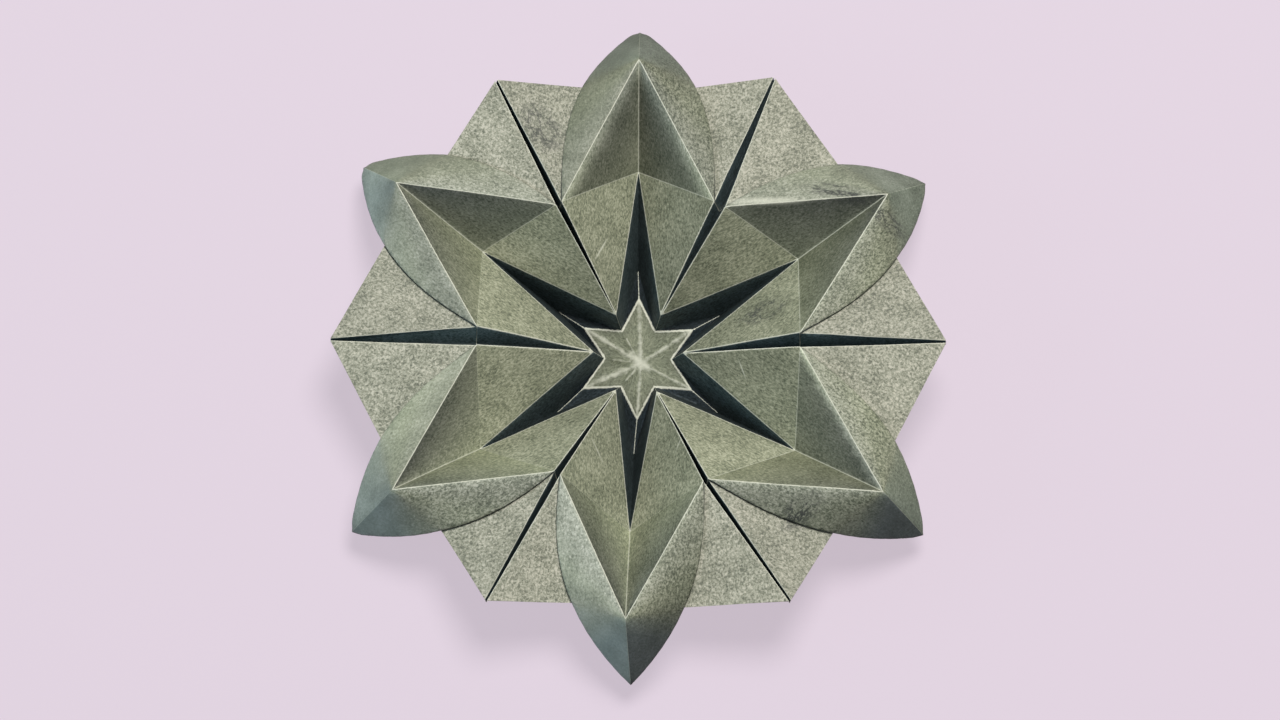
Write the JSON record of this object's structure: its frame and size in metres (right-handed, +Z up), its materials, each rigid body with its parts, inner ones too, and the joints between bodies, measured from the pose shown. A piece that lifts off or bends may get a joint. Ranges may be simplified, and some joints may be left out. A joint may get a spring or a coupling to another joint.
{
  "type": "origami star",
  "caption": "Flower-like star folded from one sheet of stiff mottled paper, with boat-shaped petals, radial pleats and a small star sunk in the middle.",
  "frame": {"origin": "on the table under the middle of the star, at the lowest folds", "axes": "+Z up through the star's face, +X out along one pleat"},
  "size_m": [0.152, 0.1694, 0.0229],
  "materials": {
    "mottled_paper": "stiff grey-green paper with a fine mottle, paler and worn along its folds"
  },
  "bodies": {
    "root": {"folded_star": "mottled_paper"}
  },
  "joints": []
}
